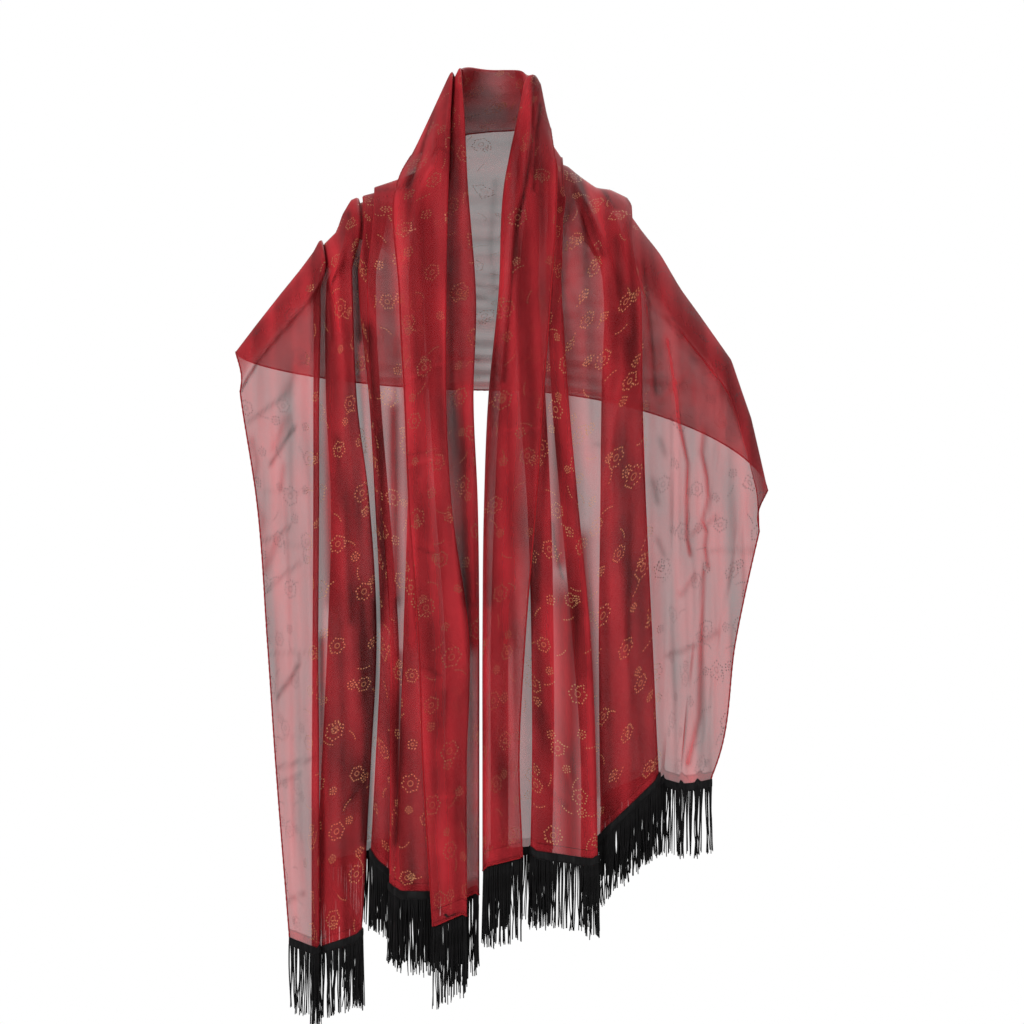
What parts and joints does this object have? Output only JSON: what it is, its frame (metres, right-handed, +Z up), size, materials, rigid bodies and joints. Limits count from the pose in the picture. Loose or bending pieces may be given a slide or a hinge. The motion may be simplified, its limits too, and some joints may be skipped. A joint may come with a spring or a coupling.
{
  "type": "fringed evening wrap",
  "caption": "Long sheer crimson wrap with black fringed ends, worn round the neck and shoulders with both ends hanging in front.",
  "frame": {"origin": "middle of the neck at the base of the throat, where the wearer's neck and shoulders carry the wrap", "axes": "+Z up, the front with its two hanging ends faces -Y, +X to the right seen from the front"},
  "size_m": [0.6509, 0.2567, 1.1804],
  "materials": {
    "chiffon": "sheer crepe chiffon with small dotted gold flowers",
    "fringe": "matte black braid and twisted fringe"
  },
  "bodies": {
    "root": {"left_front": "chiffon", "left_lapel": "chiffon", "back": "chiffon", "collar": "chiffon", "right_front": "chiffon", "right_lapel": "chiffon", "left_front_fringe": "fringe", "left_lapel_fringe": "fringe", "right_front_fringe": "fringe", "right_lapel_fringe": "fringe"}
  },
  "joints": []
}
